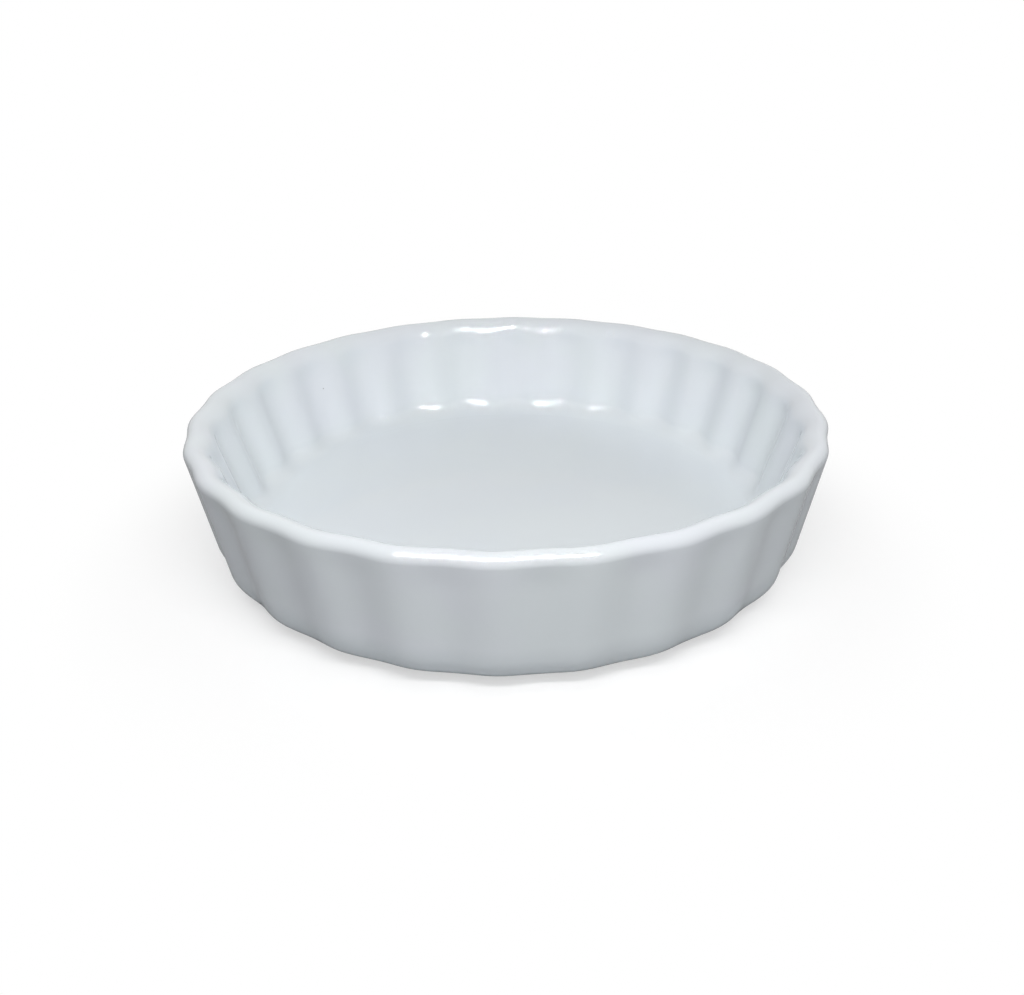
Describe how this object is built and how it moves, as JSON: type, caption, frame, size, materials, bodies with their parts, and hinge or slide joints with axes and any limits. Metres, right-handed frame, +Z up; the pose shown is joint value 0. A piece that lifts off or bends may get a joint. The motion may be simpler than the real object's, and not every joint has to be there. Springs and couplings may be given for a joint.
{
  "type": "fluted quiche dish",
  "caption": "Small round white porcelain quiche dish with a flared fluted wall, a rounded rim and a bare foot ring.",
  "frame": {"origin": "centre of the standing plane, under the foot ring", "axes": "+Z up out of the dish, which is round about Z; -Y is the side that faces the picture's camera"},
  "size_m": [0.1264, 0.127, 0.028],
  "materials": {
    "bisque": "bare fired porcelain, fine and matt",
    "glaze": "clear glossy white glaze"
  },
  "bodies": {
    "root": {"porcelain_body": "bisque", "glaze_coat": "glaze", "underside_glaze": "glaze"}
  },
  "joints": []
}
